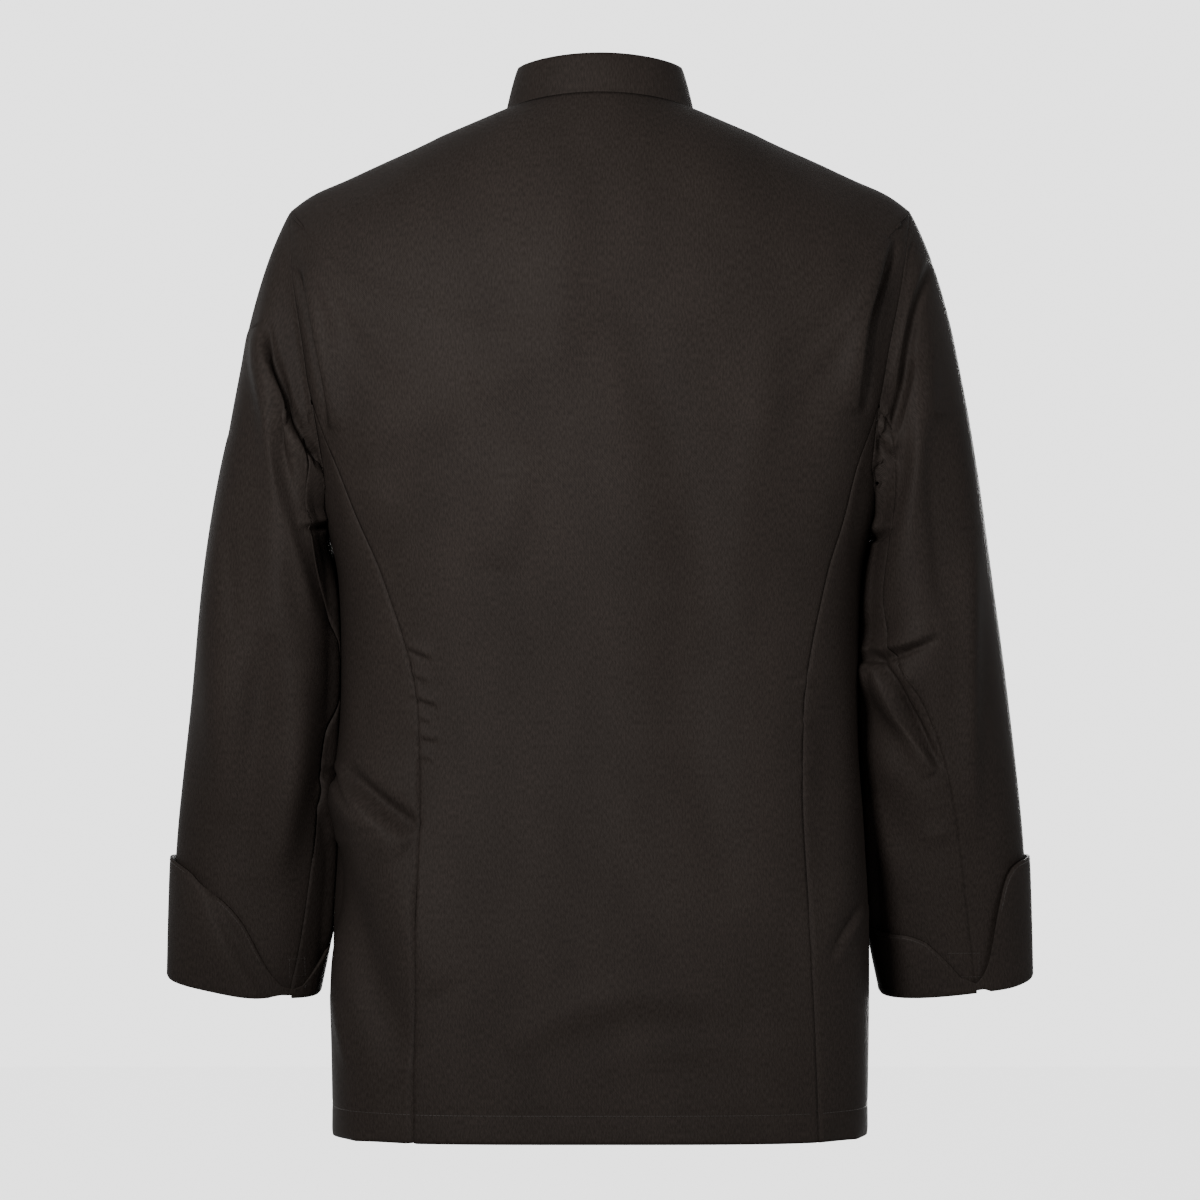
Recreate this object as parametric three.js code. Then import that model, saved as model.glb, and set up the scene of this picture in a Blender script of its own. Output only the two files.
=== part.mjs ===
// A chef's jacket, double breasted, with a stand collar, shaped back seams, two-piece sleeves and
// turned-back cuffs. It keeps the rounded form of a general wearer, with nobody in it.
// Units are millimetres. +Z is up, the front faces -Y, and the wearer's left is +X.
// The origin is the middle of the neck opening, level with the seam at the nape.
import * as THREE from "three";

// Driving dimensions
const CLOTH = 1.6; // wall of one panel
const HEM_CLOTH = 2.8; // wall where the hem is turned up inside
const HEM_DEPTH = 21;
const COLLAR_CLOTH = 2.6;
const CUFF_CLOTH = 2.2;
const SEAM_GAP = 0.3; // between two panels sewn to each other
const ARMHOLE_GAP = 0.5;
const SLEEVE_SEAM_GAP = 0.46;
const UNDERARM_GAP = 0.9; // where the sleeve and the side both hang straight down
const LAYER_GAP = 2.2; // between the two fronts where they cross
const SHOULDER_TIP = 182; // where the armhole starts, measured down the centre back
const UNDERARM = 335; // where it ends, by the same measure
const HEM = 779; // the same measure at the hem
const ARMHOLE_WIDEST = 280; // its widest row, by the same measure
const ARMHOLE_BACK = { 1: 31, [-1]: 34 }; // degrees from the side to its back edge, for each hand
const ARMHOLE_FRONT = 25; // and to its front edge
const ARMHOLE_ROUNDNESS = 2.2; // 2 is an ellipse
const SIDE_SEAM_ANGLE = 30; // degrees from the side round to the front side seam, at the hem
const FLAP_TOP_REACH = 86; // from the centre front to the crossing front's edge, at the top
const FLAP_HEM_REACH = 70;
const FLAP_TOP_DROP = 52; // how far the crossing front's top edge falls to its corner
const CUFF_STANDOFF = 1; // between a sleeve and the cuff that is turned back over it
const CUFF_FLARE = 1.4; // how much further the cuff's free edge stands off
const CUFF_LIP = 2.6; // how far the turned edge stands out past the sleeve
const COLLAR_END_GAP = 2; // from the centre front to each end of the collar
const COLLAR_END_ROUND = [0.72, 0.98]; // share of its height at the end and one column in
const BUTTON_RADIUS = 10;
const BUTTON_THICKNESS = 3.4;
const BUTTON_ROWS = 5;
const BUTTON_TOP = 74; // first row, measured down the centre front like the rings
const BUTTON_PITCH = 101;
const BUTTON_INSET = 23; // from the crossing front's edge to a button's middle
const BUTTON_SEAT = 0.35; // between a button and the cloth under it
const SLEEVE_LENGTH = 560; // along its middle, nearly enough for the cuff and the folds
const SLEEVE_GIRTH = 396; // round it, nearly enough for the folds

// Cells of the panels
const SHOULDER_ROWS = 6;
const ARMHOLE_ROWS = 7;
const BODY_ROWS = 19;
const BACK_COLUMNS = 16;
const SIDE_COLUMNS = 6;
const FRONT_COLUMNS = 7;
const FLAP_COLUMNS = 4;
const SLEEVE_ROWS = 20;
const CUFF_ROWS = 3;
const COLLAR_ROWS = 2;
const BUTTON_SIDES = 14;

const { cos, sin, abs, sign, atan2, hypot, exp, PI } = Math;
const radians = THREE.MathUtils.degToRad;
const { lerp, smoothstep } = THREE.MathUtils;

function table(names, ...lines) {
  return lines.map((line) =>
    Object.fromEntries(names.split(" ").map((name, i) => [name, line[i]])),
  );
}

// The rings round the torso. down is the distance down the centre back from the nape; the z columns are
// the ring's height at the back, side and front; halfWidth, back and front are how far it reaches; the
// square columns are the exponent of its outline, where 2 is an ellipse.
const TORSO = table(
  "down zBack zSide zFront halfWidth back front squareBack squareFront",
  [0, 0, -8, -78, 71, 60, 78, 2.0, 2.0], // neckline
  [35, -31, -25, -108, 112, 82, 97, 2.05, 2.05],
  [80, -71, -44, -146, 156, 101, 115, 2.1, 2.1],
  [130, -119, -65, -180, 200, 115, 128, 2.2, 2.2],
  [182, -170, -83, -214, 231, 121, 136, 2.3, 2.3], // shoulder tip
  [225, -213, -125, -242, 243, 124, 140, 2.4, 2.4],
  [275, -262, -207, -277, 233, 124, 141, 2.5, 2.5], // middle of the armhole
  [335, -322, -314, -326, 206, 121, 139, 2.6, 2.5], // underarm
  [375, -361, -359, -363, 196, 117, 137, 2.7, 2.6],
  [465, -451, -450, -451, 193.5, 108, 130, 2.9, 2.7], // waist
  [560, -546, -545, -546, 197, 113, 129, 3.2, 2.8],
  [640, -626, -624, -626, 200.5, 117, 128, 3.5, 2.9], // hip
  [779, -768.5, -770, -769, 199, 118, 126, 3.8, 3.0], // hem
);

// The shaped seam from the armhole down the back, by its distance from the middle. shift moves both
// seams towards the wearer's right, as the jacket hangs.
const BACK_SEAM = table(
  "down reach shift",
  [280, 208, 5],
  [298, 194, 3],
  [311, 189, 2],
  [324, 184, 0.5],
  [335, 178, -0.7],
  [355, 169, -2.3],
  [378, 161.5, -3.8],
  [404, 153.5, -5.5],
  [431, 147, -7],
  [459, 141.5, -8],
  [539, 140, -9],
  [614, 142, -10],
  [694, 145, -11],
  [779, 147.5, -12],
);

// The collar's free edge, as a ring above the neckline, with its height at the back, side and front.
const COLLAR_TOP = {
  zBack: 29,
  zSide: 23,
  zFront: -40,
  halfWidth: 62,
  back: 52,
  front: 71,
};

// The sleeve's outline seen from the front, for the wearer's left: along is the share of its length,
// outer and inner are the two edges, halfDepth is from its middle to its back, middleY is how far its
// middle lies behind the torso's, and hang is how much lower its back is than its middle.
const SLEEVE = table(
  "along outerX outerZ innerX innerZ halfDepth middleY hang square",
  [0, 232, -83, 206.4, -314, 56, 0, 0, 2.2], // armhole
  [0.08, 249.5, -120, 206.5, -332, 64, 0, 0, 2.2],
  [0.18, 265, -182, 200.2, -352, 72, -1, 0, 2.2],
  [0.3, 280.5, -262, 196, -385, 77, -4, 0, 2.1],
  [0.45, 294.5, -358, 195.1, -434, 75, -10, 0, 2.1],
  [0.6, 306, -440, 196.8, -486, 67, -16, 0, 2.1], // elbow
  [0.8, 318.5, -545, 200.3, -570, 51, -24, 1, 2.2],
  [0.9, 322, -600, 205, -620, 43, -26, 2, 2.2],
  [1, 324.5, -656, 213.5, -668, 34, -28, 6, 2.3], // wrist
);

// The angle round each sleeve of its back and front seams, by the share of its length.
const LEFT_SEAMS = table(
  "along back front",
  [0, 106, 262],
  [0.1, 112, 258],
  [0.2, 130, 247],
  [0.3, 150, 243],
  [0.47, 162, 240],
  [0.6, 146, 238],
  [0.8, 138, 236],
  [1, 130, 235],
);
const RIGHT_SEAMS = table(
  "along back front",
  [0, 106, 262],
  [0.1, 112, 258],
  [0.2, 124, 247],
  [0.3, 134, 243],
  [0.4, 132, 240],
  [0.49, 114, 232],
  [0.59, 98, 226],
  [0.7, 86, 220],
  [0.86, 80, 214],
  [1, 77, 212],
);

// The turned-back cuff's height at degrees from its notch, first towards the outside of the arm
// (negative) and then towards the body.
const LEFT_CUFF = table(
  "from height",
  [-180, 88],
  [-110, 87],
  [-84, 82],
  [-70, 74],
  [-50, 60],
  [-39, 47],
  [-26, 26],
  [-12, 9],
  [0, 5],
  [10, 9],
  [23, 24],
  [44, 40],
  [80, 64],
  [120, 80],
  [180, 88],
);
const RIGHT_CUFF = table(
  "from height",
  [-180, 88],
  [-60, 88],
  [-37, 86],
  [-27, 76],
  [-18, 52],
  [-10, 20],
  [0, 5],
  [12, 12],
  [22, 26],
  [31, 38],
  [42, 46],
  [87, 55],
  [130, 72],
  [180, 88],
);

// Folds of the torso as soft ridges (height over 0) and troughs, on the back (side 1) or front (-1).
// Each runs in a straight line between two points seen from behind or in front.
const TORSO_FOLDS = table(
  "side fromX fromZ toX toZ width height",
  [1, 205, -130, 192, -268, 16, 6], // overhang by the left armhole
  [1, -190, -120, -176, -272, 16, 7], // and by the right one
  [1, 196, -486, 150, -560, 24, 5], // drag from the left waist
  [1, 190, -570, 140, -650, 26, -4],
  [1, 182, -640, 120, -720, 30, 4],
  [1, -188, -470, -150, -540, 24, -3],
  [1, 60, -215, 30, -560, 46, -3.5], // long soft folds down the back
  [1, -10, -190, -20, -420, 40, 3],
  [1, -85, -230, -60, -520, 42, -3],
  [1, 70, -640, -70, -655, 34, 3], // arch over the seat
  [-1, -165, -330, -120, -520, 28, 4],
  [-1, 165, -320, 128, -500, 28, 4],
  [-1, -150, -620, -168, -740, 30, -4],
  [-1, 150, -600, 165, -740, 30, 4],
  [-1, 196, -140, 178, -270, 17, 5],
  [-1, -196, -140, -178, -270, 17, 5],
);

// Folds of each sleeve, by the share of its length and the angle round it (0 outside, 90 back,
// 180 towards the body), in degrees.
const LEFT_SLEEVE_FOLDS = table(
  "fromAlong fromAngle toAlong toAngle width height",
  [0.1, 42, 0.34, 128, 15, 7], // long drag from the back armhole to the underarm
  [0.12, 80, 0.3, 120, 13, -5],
  [0.22, 60, 0.62, 96, 15, -4],
  [0.3, 40, 0.68, 70, 17, 3],
  [0.6, 120, 0.8, 100, 14, 4],
  [0.2, 250, 0.45, 215, 18, 4],
  [0.45, 262, 0.6, 225, 16, -4],
  [0.62, 285, 0.8, 240, 16, 3],
);
const RIGHT_SLEEVE_FOLDS = table(
  "fromAlong fromAngle toAlong toAngle width height",
  [0.06, 60, 0.3, 112, 14, 5],
  [0.14, 40, 0.46, 72, 16, -4],
  [0.34, 150, 0.46, 120, 13, -5], // pinches at the elbow
  [0.44, 146, 0.53, 98, 14, 8],
  [0.54, 146, 0.64, 92, 12, -6],
  [0.6, 146, 0.74, 104, 14, 5],
  [0.3, 250, 0.46, 215, 18, 4],
  [0.5, 280, 0.66, 232, 16, -4],
);

const BLACK_TWILL = new THREE.MeshStandardMaterial({
  color: 0x2b2624,
  roughness: 0.85,
  metalness: 0,
});
const BLACK_RESIN = new THREE.MeshStandardMaterial({
  color: 0x161414,
  roughness: 0.4,
  metalness: 0,
});

// One line of a table at a value between its own lines, on a smooth curve for every column.
function between(lines, key, at) {
  const last = lines.length - 2;
  const found = lines.findIndex((line) => line[key] > at) - 1;
  const i = found < -1 ? last : Math.max(0, found);
  const [a, b] = [lines[i], lines[i + 1]];
  const before = lines[Math.max(0, i - 1)];
  const after = lines[Math.min(lines.length - 1, i + 2)];
  const span = b[key] - a[key];
  const t = (at - a[key]) / span;
  const line = {};
  for (const name of Object.keys(a)) {
    const slopeA = ((b[name] - before[name]) / (b[key] - before[key])) * span;
    const slopeB = ((after[name] - a[name]) / (after[key] - a[key])) * span;
    line[name] =
      a[name] * (1 + 2 * t) * (1 - t) ** 2 +
      b[name] * (3 - 2 * t) * t * t +
      slopeA * t * (1 - t) ** 2 -
      slopeB * t * t * (1 - t);
  }
  return line;
}

// A point at an angle round an outline of the given squareness, whose half axes are both 1.
function squircle(angle, square) {
  const [c, s] = [cos(angle), sin(angle)];
  const r = (abs(c) ** square + abs(s) ** square) ** (-1 / square);
  return [c * r, s * r];
}

// How strongly a fold between two points of a plane is felt at a third, from 0 to 1.
function nearness(x, y, fromX, fromY, toX, toY, width) {
  const [dx, dy] = [toX - fromX, toY - fromY];
  const t = ((x - fromX) * dx + (y - fromY) * dy) / (dx * dx + dy * dy);
  const on = THREE.MathUtils.clamp(t, 0, 1);
  const off = hypot(x - fromX - on * dx, y - fromY - on * dy);
  return exp(-((off / width) ** 2)) * (0.35 + 0.65 * sin(PI * on));
}

function torsoFold(p) {
  const side = sign(p.y);
  return TORSO_FOLDS.filter((fold) => fold.side === side).reduce(
    (sum, f) =>
      sum +
      f.height * nearness(p.x, p.z, f.fromX, f.fromZ, f.toX, f.toZ, f.width),
    0,
  );
}

// The torso without its folds. angle is 0 at the wearer's left side and 90 at the centre back.
function torsoForm(angle, down) {
  const ring = between(TORSO, "down", down);
  const behind = sin(angle) > 0;
  const [c, s] = squircle(angle, behind ? ring.squareBack : ring.squareFront);
  const z = behind ? ring.zBack : ring.zFront;
  return new THREE.Vector3(
    ring.halfWidth * c,
    (behind ? ring.back : ring.front) * s,
    lerp(ring.zSide, z, s * s),
  );
}

// The outward direction of a surface that is a function of two numbers.
function facing(surface, u, v, du, dv) {
  const across = surface(u + du, v).sub(surface(u - du, v));
  const along = surface(u, v + dv).sub(surface(u, v - dv));
  return along.cross(across).normalize();
}

// A point of the torso's cloth, lifted off it for a layer that lies on top.
function torso(angle, down, lift = 0) {
  const p = torsoForm(angle, down);
  const n = facing(torsoForm, angle, down, 0.01, 1);
  return p.addScaledVector(n, torsoFold(p) + lift);
}

function torsoNormal(angle, down) {
  return facing(torso, angle, down, 0.02, 2);
}

// The angle at which the torso's ring is a given distance from the middle, for the wearer's left.
function angleAt(down, x, square) {
  const ring = between(TORSO, "down", down);
  const share = Math.min(x / ring.halfWidth, 0.999);
  return atan2((1 - share ** ring[square]) ** (1 / ring[square]), share);
}

// The armhole's edge at a turn round it: 0 is the shoulder tip, 90 the back, 180 the underarm.
function armhole(turn, hand) {
  const [c, s] = [cos(turn), sin(turn)];
  const power = 2 / ARMHOLE_ROUNDNESS;
  const spread = s > 0 ? ARMHOLE_BACK[hand] : -ARMHOLE_FRONT;
  const end = c > 0 ? SHOULDER_TIP : UNDERARM;
  return {
    angle: radians(spread) * abs(s) ** power,
    down: lerp(ARMHOLE_WIDEST, end, abs(c) ** power),
  };
}

// The rows that every panel of the body shares, as distances down the centre back.
const ROWS = [
  ...Array.from(
    { length: SHOULDER_ROWS },
    (_, i) => (SHOULDER_TIP * i) / SHOULDER_ROWS,
  ),
  ...Array.from(
    { length: ARMHOLE_ROWS },
    (_, i) => armhole((PI / 2) * (i / ARMHOLE_ROWS), 1).down,
  ),
  ...Array.from({ length: BODY_ROWS }, (_, i) =>
    lerp(ARMHOLE_WIDEST, HEM - HEM_DEPTH, i / (BODY_ROWS - 1)),
  ),
  HEM,
];
const TIP_ROW = SHOULDER_ROWS;
const WIDEST_ROW = SHOULDER_ROWS + ARMHOLE_ROWS;

// A row's distance down at a share of the way in from the armhole, where rows spread out evenly.
function levelAt(row, inward) {
  if (row <= TIP_ROW || row >= WIDEST_ROW) return ROWS[row];
  const share = (row - TIP_ROW) / ARMHOLE_ROWS;
  const even = lerp(SHOULDER_TIP, ARMHOLE_WIDEST, share);
  return lerp(ROWS[row], even, smoothstep(inward, 0.15, 0.6));
}

// Where a column stands between the armhole (0) and the middle (1). Columns crowd towards the armhole
// just under the shoulder tip, where it cuts in fastest.
function crowded(share, row) {
  if (row <= TIP_ROW) return share;
  const crowding = 0.5 * (1 - smoothstep(row, TIP_ROW + 1, WIDEST_ROW + 4));
  return share * (1 - crowding * (1 - share) ** 2);
}

function wallAt(down) {
  return down > HEM - HEM_DEPTH - 1 ? HEM_CLOTH : CLOTH;
}

// How far round the torso a panel starts in each row, on the back (side 1) or the front (-1).
function panelEdge(row, side, hand) {
  const down = ROWS[row];
  if (row <= TIP_ROW) return 0;
  if (row <= WIDEST_ROW) {
    const turn = (PI / 2) * ((row - TIP_ROW) / ARMHOLE_ROWS);
    return abs(armhole(side * turn, hand).angle);
  }
  if (side < 0) {
    const t = (down - ARMHOLE_WIDEST) / (HEM - ARMHOLE_WIDEST);
    return radians(lerp(ARMHOLE_FRONT, SIDE_SEAM_ANGLE, t));
  }
  const seam = between(BACK_SEAM, "down", down);
  return angleAt(down, seam.reach + hand * seam.shift, "squareBack");
}

// Half of a seam's gap, as an angle round the torso, for the seam that is a panel's edge.
function halfGap(row, side, hand) {
  const step = 0.01;
  const angle = panelEdge(row, side, hand) * side;
  const place = (turn, down) => torso(hand > 0 ? turn : PI - turn, down);
  const round = place(angle + step, ROWS[row]).sub(place(angle - step, ROWS[row]));
  const from = row > WIDEST_ROW ? row - 1 : row;
  const to = Math.min(row + 1, ROWS.length - 1);
  const along = place(panelEdge(to, side, hand) * side, ROWS[to]).sub(
    place(panelEdge(from, side, hand) * side, ROWS[from]),
  );
  const slant = Math.max(0.5, sin(round.angleTo(along)));
  return SEAM_GAP / 2 / (round.length() / (2 * step)) / slant;
}

// A closed wall from its outer points, its inner points, and whether its columns meet in a ring.
function wall(name, outer, inner, material, ring = false) {
  const [rows, columns] = [outer.length, outer[0].length];
  const grids = [outer, inner];
  const positions = grids.flat(2).flatMap((p) => [p.x, p.y, p.z]);
  const at = (layer, i, j) => (layer * rows + i) * columns + (j % columns);
  const index = [];
  const quad = (a, b, c, d) => index.push(a, b, c, a, c, d);
  const across = ring ? columns : columns - 1;
  for (let i = 0; i < rows - 1; i++)
    for (let j = 0; j < across; j++) {
      quad(at(0, i, j), at(0, i + 1, j), at(0, i + 1, j + 1), at(0, i, j + 1));
      quad(at(1, i, j), at(1, i, j + 1), at(1, i + 1, j + 1), at(1, i + 1, j));
    }
  for (let j = 0; j < across; j++) {
    quad(at(0, 0, j), at(0, 0, j + 1), at(1, 0, j + 1), at(1, 0, j));
    quad(
      at(0, rows - 1, j + 1),
      at(0, rows - 1, j),
      at(1, rows - 1, j),
      at(1, rows - 1, j + 1),
    );
  }
  for (let i = 0; i < rows - 1 && !ring; i++) {
    quad(at(0, i + 1, 0), at(0, i, 0), at(1, i, 0), at(1, i + 1, 0));
    quad(
      at(0, i, columns - 1),
      at(0, i + 1, columns - 1),
      at(1, i + 1, columns - 1),
      at(1, i, columns - 1),
    );
  }
  return solid(name, positions, index, material);
}

// A mesh from points and triangles, turned the right way out.
function solid(name, positions, index, material) {
  let volume = 0;
  const [a, b, c] = [0, 1, 2].map(() => new THREE.Vector3());
  for (let i = 0; i < index.length; i += 3) {
    [a, b, c].forEach((p, k) => p.fromArray(positions, index[i + k] * 3));
    volume += a.dot(b.cross(c)) / 6;
  }
  const geometry = new THREE.BufferGeometry();
  geometry.setAttribute(
    "position",
    new THREE.Float32BufferAttribute(positions, 3),
  );
  geometry.setIndex(volume < 0 ? index.reverse() : index);
  geometry.computeVertexNormals();
  const mesh = new THREE.Mesh(geometry, material);
  mesh.name = name;
  return mesh;
}

// The facings that two walls take where they meet at a seam. Both take the same one, but each keeps its
// own where the seam is a sharp valley. Each way runs from the seam into its own cloth.
const SHARP_VALLEY = 0.6;
function mitre(facingA, wayA, facingB, wayB) {
  if (facingA.dot(wayB) + facingB.dot(wayA) > SHARP_VALLEY)
    return [facingA.clone(), facingB.clone()];
  const shared = facingA.clone().add(facingB).normalize();
  shared.divideScalar(Math.max(shared.dot(facingA), 0.6));
  return [shared, shared];
}

// The armhole's loop for one hand (1 is the wearer's left): at each point the seam, the body's facing
// and the way into the body's cloth.
function armholeLoop(hand) {
  const turns = [
    ...Array.from({ length: ARMHOLE_ROWS }, (_, i) => (PI / 2) * (i / ARMHOLE_ROWS)),
    ...Array.from(
      { length: SIDE_COLUMNS },
      (_, i) => PI / 2 + PI * (i / SIDE_COLUMNS),
    ),
    ...Array.from(
      { length: ARMHOLE_ROWS },
      (_, i) => (3 * PI) / 2 + (PI / 2) * (i / ARMHOLE_ROWS),
    ),
  ];
  const place = (turn) => {
    const { angle, down } = armhole(turn, hand);
    return { angle: hand > 0 ? angle : PI - angle, down };
  };
  return turns.map((turn) => {
    const { angle, down } = place(turn);
    const [before, after] = [place(turn - 0.05), place(turn + 0.05)];
    const normal = torsoNormal(angle, down);
    const tangent = torso(after.angle, after.down).sub(
      torso(before.angle, before.down),
    );
    const way = tangent.cross(normal).multiplyScalar(-hand).normalize();
    return { point: torso(angle, down), normal, way };
  });
}

// The angle round the sleeve of one of its columns. The undersleeve has the columns from UNDER_FROM
// to UNDER_TO, between the two seams.
const UNDER_FROM = ARMHOLE_ROWS;
const UNDER_TO = ARMHOLE_ROWS + SIDE_COLUMNS;
const SLEEVE_COLUMNS = 2 * ARMHOLE_ROWS + SIDE_COLUMNS;
function sleeveAngle(hand, column, along) {
  const seam = between(hand > 0 ? LEFT_SEAMS : RIGHT_SEAMS, "along", along);
  const j = (column + SLEEVE_COLUMNS) % SLEEVE_COLUMNS;
  if (j <= UNDER_FROM) return (seam.back * j) / UNDER_FROM;
  if (j < UNDER_TO)
    return lerp(seam.back, seam.front, (j - UNDER_FROM) / SIDE_COLUMNS);
  return lerp(seam.front, 360, (j - UNDER_TO) / (SLEEVE_COLUMNS - UNDER_TO));
}

// The sleeve's tube with its folds, for one hand. angle is in degrees.
function sleeveTube(hand, angle, along, lift = 0) {
  const form = (degrees, share) => {
    const s = between(SLEEVE, "along", share);
    const [c, d] = squircle(radians(degrees), s.square);
    return new THREE.Vector3(
      hand * ((s.outerX + s.innerX) / 2 + ((s.outerX - s.innerX) / 2) * c),
      s.middleY + s.halfDepth * d,
      (s.outerZ + s.innerZ) / 2 + ((s.outerZ - s.innerZ) / 2) * c - s.hang * d,
    );
  };
  const folds = hand > 0 ? LEFT_SLEEVE_FOLDS : RIGHT_SLEEVE_FOLDS;
  const round = SLEEVE_GIRTH / 360;
  const turn = ((angle % 360) + 360) % 360;
  const fold = folds.reduce(
    (sum, f) =>
      sum +
      f.height *
        nearness(
          turn * round,
          along * SLEEVE_LENGTH,
          f.fromAngle * round,
          f.fromAlong * SLEEVE_LENGTH,
          f.toAngle * round,
          f.toAlong * SLEEVE_LENGTH,
          f.width,
        ),
    0,
  );
  const n = facing(form, angle, along, 1, 0.004).multiplyScalar(hand);
  return form(angle, along).addScaledVector(
    n,
    fold * smoothstep(along, 0.02, 0.14) * (1 - smoothstep(along, 0.8, 0.86)) +
      lift,
  );
}

// Every ring of a sleeve, from the armhole to the wrist, as outer points and the matching facings.
function sleeveRings(hand) {
  const loop = armholeLoop(hand);
  const surface = (column, along) =>
    sleeveTube(hand, sleeveAngle(hand, column, along), along);
  const rings = [];
  for (let i = 0; i <= SLEEVE_ROWS; i++) {
    const along = i / SLEEVE_ROWS;
    const blend = smoothstep(along, -0.04, 0.16);
    rings.push(
      loop.map(({ point }, column) =>
        i === 0
          ? point.clone()
          : point.clone().lerp(surface(column, along), blend),
      ),
    );
  }
  const at = (i, j) =>
    rings[THREE.MathUtils.clamp(i, 0, SLEEVE_ROWS)][
      (j + SLEEVE_COLUMNS) % SLEEVE_COLUMNS
    ];
  const facings = rings.map((ring, i) =>
    ring.map((_, j) => {
      const across = at(i, j + 1).clone().sub(at(i, j - 1));
      const along = at(i + 1, j).clone().sub(at(i - 1, j));
      return along.cross(across).multiplyScalar(hand).normalize();
    }),
  );
  // The first ring stands off the body's edge by the seam's gap.
  const edges = loop.map(({ point, normal, way }, j) => {
    const into = at(1, j).clone().sub(point).normalize();
    const [edge, first] = mitre(normal, way, facings[1][j], into);
    const off = into.clone().sub(way);
    off.addScaledVector(normal, Math.max(0, 1.7 - off.length()));
    const under = j >= UNDER_FROM && j <= UNDER_TO;
    rings[0][j].addScaledVector(off.normalize(), under ? UNDERARM_GAP : ARMHOLE_GAP);
    facings[0][j] = first;
    return edge;
  });
  return { rings, facings, edges };
}

const SLEEVES = { 1: sleeveRings(1), [-1]: sleeveRings(-1) };

// One of a sleeve's two panels: the columns from one seam round to the other.
function sleevePanel(name, hand, from, to) {
  const { rings, facings } = SLEEVES[hand];
  const pick = (grid, i, j) => grid[i][(j + SLEEVE_COLUMNS) % SLEEVE_COLUMNS];
  const outer = [];
  const inner = [];
  for (let i = 0; i <= SLEEVE_ROWS; i++) {
    const line = [];
    for (let j = from; j <= to; j++) {
      const p = pick(rings, i, j).clone();
      const next = pick(rings, i, j === from ? j + 1 : j - 1);
      if (j === from || j === to) {
        const along = pick(rings, Math.min(i + 1, SLEEVE_ROWS), j)
          .clone()
          .sub(pick(rings, Math.max(i - 1, 0), j));
        const across = along.cross(pick(facings, Math.max(i, 1), j)).normalize();
        const way = sign(across.dot(next.clone().sub(p)));
        p.addScaledVector(across, way * SLEEVE_SEAM_GAP * 0.5);
      }
      line.push(p);
    }
    outer.push(line);
    inner.push(
      line.map((p, k) =>
        p.clone().addScaledVector(pick(facings, i, from + k), -CLOTH),
      ),
    );
  }
  return wall(name, outer, inner, BLACK_TWILL);
}

// The facing of the torso's or the collar's wall at the neckline.
function necklineFacing(angle, of) {
  const normal = torsoNormal(angle, 0.01);
  const into = torso(angle, 8).sub(torso(angle, 0)).normalize();
  const up = collarPoint(angle, 1).sub(collarPoint(angle, 0)).normalize();
  const across = torso(angle + 0.02, 0).sub(torso(angle - 0.02, 0));
  const collarNormal = across.cross(up).normalize();
  const [body, stand] = mitre(normal, into, collarNormal, up);
  return of === "collar" ? stand : body;
}

// A point of the collar's outer face: 0 is the neckline and 1 its free edge.
function collarPoint(angle, share) {
  const behind = sin(angle) > 0;
  const [c, s] = squircle(angle, 2);
  const reach = behind ? COLLAR_TOP.back : COLLAR_TOP.front;
  const top = new THREE.Vector3(
    COLLAR_TOP.halfWidth * c,
    reach * s,
    lerp(
      COLLAR_TOP.zSide,
      behind ? COLLAR_TOP.zBack : COLLAR_TOP.zFront,
      s * s,
    ),
  );
  return torso(angle, 0).lerp(top, share);
}

// A body panel from a grid of places on the torso. Each place has an angle, a distance down, a lift,
// and a facing where a seam sets it.
function bodyPanel(name, grid) {
  const outer = grid.map((row) =>
    row.map((g) => torso(g.angle, g.down, g.lift ?? 0)),
  );
  const inner = grid.map((row, i) =>
    row.map((g, j) => {
      const n = g.facing ?? torsoNormal(g.angle, Math.min(g.down, HEM - 2));
      return outer[i][j].clone().addScaledVector(n, -wallAt(g.down));
    }),
  );
  return wall(name, outer, inner, BLACK_TWILL);
}

// The facing that a body panel takes at a vertex on the armhole's edge, if it lies there.
function armholeFacing(row, side, hand) {
  if (row < TIP_ROW || row > WIDEST_ROW) return undefined;
  const step = row - TIP_ROW;
  const column = side > 0 ? step : (SLEEVE_COLUMNS - step) % SLEEVE_COLUMNS;
  return SLEEVES[hand].edges[column];
}

function edgeFacing(row, side, hand, angle) {
  return row === 0 ? necklineFacing(angle) : armholeFacing(row, side, hand);
}

function back() {
  const grid = ROWS.map((_, row) => {
    const from = panelEdge(row, 1, 1);
    const to = PI - panelEdge(row, 1, -1);
    const sewn = row <= TIP_ROW || row >= WIDEST_ROW;
    const [left, right] = [1, -1].map((hand) => (sewn ? halfGap(row, 1, hand) : 0));
    return Array.from({ length: BACK_COLUMNS + 1 }, (_, j) => {
      const edge = j === 0 || j === BACK_COLUMNS;
      const hand = 2 * j <= BACK_COLUMNS ? 1 : -1;
      const inward = 1 - abs((2 * j) / BACK_COLUMNS - 1);
      const start = hand > 0 ? from + left : to - right;
      const angle = lerp(start, PI / 2, crowded(inward, row));
      const onEdge = edge || row === 0;
      return {
        angle,
        down: levelAt(row, inward),
        facing: onEdge ? edgeFacing(row, 1, hand, angle) : undefined,
      };
    });
  });
  return bodyPanel("back", grid);
}

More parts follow.
